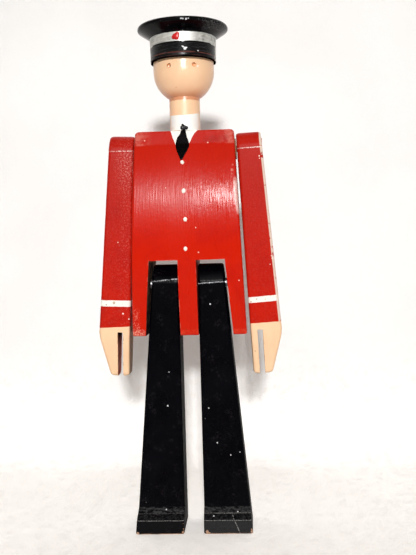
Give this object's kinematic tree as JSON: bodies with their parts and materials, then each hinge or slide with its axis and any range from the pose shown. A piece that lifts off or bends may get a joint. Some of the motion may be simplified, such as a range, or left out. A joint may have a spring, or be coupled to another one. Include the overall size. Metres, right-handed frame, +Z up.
{
  "type": "jointed wooden figure",
  "caption": "Painted wooden toy figure in a peaked cap, with a head, arms and legs that turn on pegs, pins and a hip rod, and slotted hands.",
  "frame": {"origin": "centre of the figure's bounding box on the floor, midway between the two soles", "axes": "+Z up along the figure's height; +Y towards its back, so it faces -Y; +X towards its own left side"},
  "size_m": [0.0798, 0.0392, 0.2194],
  "materials": {
    "jacket_red": "gloss paint on beech",
    "sleeve_red": "satin paint on beech, with bare-skin hands",
    "skin": "satin paint on beech",
    "cap_black": "gloss paint on beech, with a silver band",
    "peak_black": "gloss paint, worn at the edge",
    "trouser_black": "gloss paint on beech, worn at the soles",
    "pin_steel": "drawn",
    "washer_fibre": "matt"
  },
  "bodies": {
    "jacket": {"jacket": "jacket_red", "hip_rod": "pin_steel", "left_hip_plug": "jacket_red", "right_hip_plug": "jacket_red", "left_arm_pin": "pin_steel", "right_arm_pin": "pin_steel", "left_arm_washer": "washer_fibre", "right_arm_washer": "washer_fibre"},
    "head": {"neck_and_head": "skin", "cap": "cap_black", "cap_peak": "peak_black"},
    "left_arm": {"left_arm": "sleeve_red", "left_arm_plug": "sleeve_red"},
    "right_arm": {"right_arm": "sleeve_red", "right_arm_plug": "sleeve_red"},
    "left_leg": {"left_leg": "trouser_black"},
    "right_leg": {"right_leg": "trouser_black"}
  },
  "joints": [
    {"name": "head_turn", "type": "hinge", "parent": "jacket", "child": "head", "pos_m": [0, 0, 0.1731], "axis": [0, 0, 1], "continuous": true},
    {"name": "left_arm_swing", "type": "hinge", "parent": "jacket", "child": "left_arm", "pos_m": [0.02156, 0, 0.1653], "axis": [-0.9992, 0, -0.0403], "continuous": true},
    {"name": "right_arm_swing", "type": "hinge", "parent": "jacket", "child": "right_arm", "pos_m": [-0.02156, 0, 0.1653], "axis": [-0.9992, 0, 0.0403], "continuous": true},
    {"name": "left_leg_swing", "type": "hinge", "parent": "jacket", "child": "left_leg", "pos_m": [0.01, 0, 0.1073], "axis": [-1, 0, 0], "range_deg": [-55, 55]},
    {"name": "right_leg_swing", "type": "hinge", "parent": "jacket", "child": "right_leg", "pos_m": [-0.01, 0, 0.1073], "axis": [-1, 0, 0], "range_deg": [-55, 55]}
  ]
}
